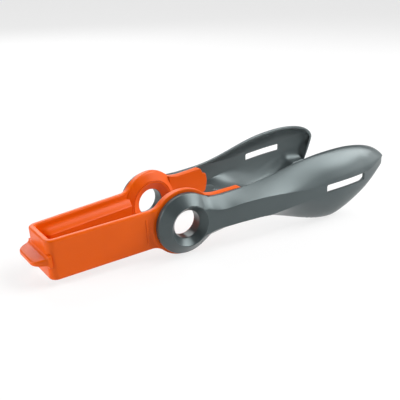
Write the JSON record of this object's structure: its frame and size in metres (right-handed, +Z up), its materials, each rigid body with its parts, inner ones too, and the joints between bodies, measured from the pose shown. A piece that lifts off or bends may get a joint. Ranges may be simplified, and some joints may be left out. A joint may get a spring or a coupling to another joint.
{
  "type": "folding tongs",
  "caption": "Folding kitchen tongs: a springy U-shaped handle whose ring eyes carry scoop heads that grip, drain through slots and fold back along the handle.",
  "frame": {"origin": "on the surface the tongs stand on, under the middle of their box", "axes": "+X from the closed end of the handle to the tips, +Y from the near head to the far head, +Z up"},
  "size_m": [0.2623, 0.0918, 0.0502],
  "materials": {
    "handle_orange": "smooth moulded, semi-gloss orange",
    "head_grey": "smooth moulded, glossy slate grey"
  },
  "bodies": {
    "handle_bow": {"handle_bow": "handle_orange"},
    "near_arm": {"near_arm": "handle_orange"},
    "far_arm": {"far_arm": "handle_orange"},
    "near_head": {"near_head": "head_grey", "near_collar": "handle_orange"},
    "far_head": {"far_head": "head_grey", "far_collar": "handle_orange"}
  },
  "joints": [
    {"name": "near_squeeze", "type": "hinge", "parent": "handle_bow", "child": "near_arm", "pos_m": [-0.10792, -0.01394, 0.01727], "axis": [-0.0601, 0, 0.9982], "range_deg": [0, 7.9], "stiffness_Nm_per_rad": 5},
    {"name": "far_squeeze", "type": "hinge", "parent": "handle_bow", "child": "far_arm", "pos_m": [-0.10792, 0.01394, 0.01727], "axis": [0.0601, 0, -0.9982], "range_deg": [0, 7.9], "stiffness_Nm_per_rad": 5},
    {"name": "near_fold", "type": "hinge", "parent": "near_arm", "child": "near_head", "pos_m": [-0.03765, -0.0222, 0.0215], "axis": [-0.0679, -0.9977, -0.0041], "range_deg": [0, 180]},
    {"name": "far_fold", "type": "hinge", "parent": "far_arm", "child": "far_head", "pos_m": [-0.03765, 0.0222, 0.0215], "axis": [0.0679, -0.9977, 0.0041], "range_deg": [0, 180]}
  ]
}
